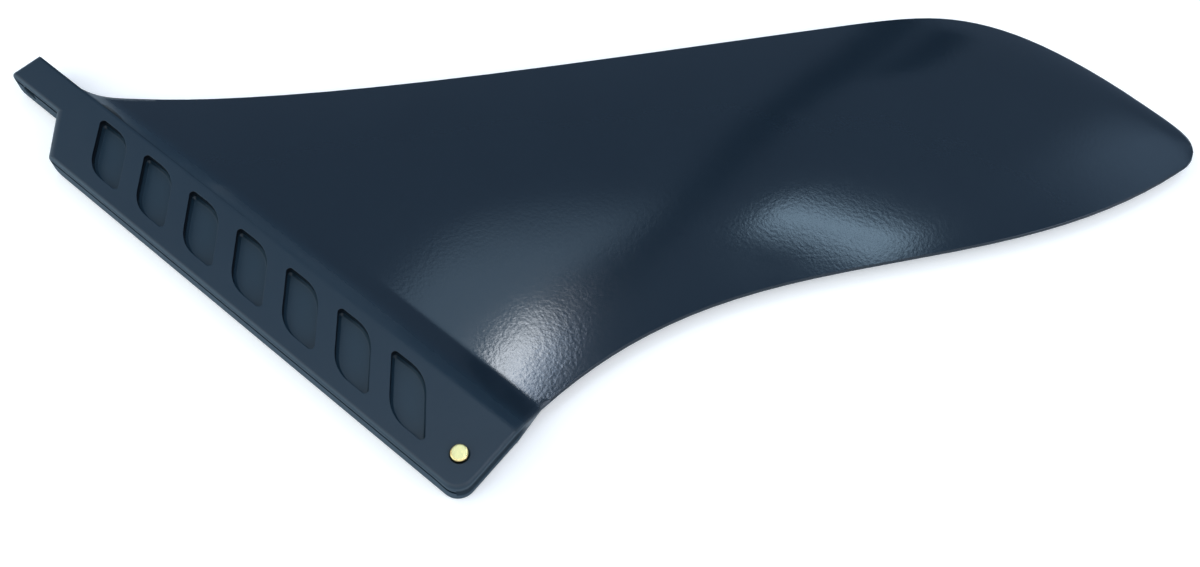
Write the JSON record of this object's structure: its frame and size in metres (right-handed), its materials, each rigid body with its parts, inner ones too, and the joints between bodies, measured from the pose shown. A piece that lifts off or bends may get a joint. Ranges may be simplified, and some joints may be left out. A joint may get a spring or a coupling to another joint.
{
  "type": "surfboard fin",
  "caption": "Raked longboard centre fin with a foiled blade, a ramped slide-in base with leaning core-out pockets, a screw tongue and a brass cross pin.",
  "frame": {"origin": "on the axis of the screw hole, at the level of the tongue's top, in the middle plane of the fin", "axes": "+X along the base from the screw tongue to the rear pin, +Y out of the board towards the blade's tip, +Z through the thickness"},
  "size_m": [0.3024, 0.2476, 0.0118],
  "materials": {
    "fin": "satin moulded base, polished blade",
    "cross_pin": "turned and polished"
  },
  "bodies": {
    "root": {"fin": "fin", "cross_pin": "cross_pin"}
  },
  "joints": []
}
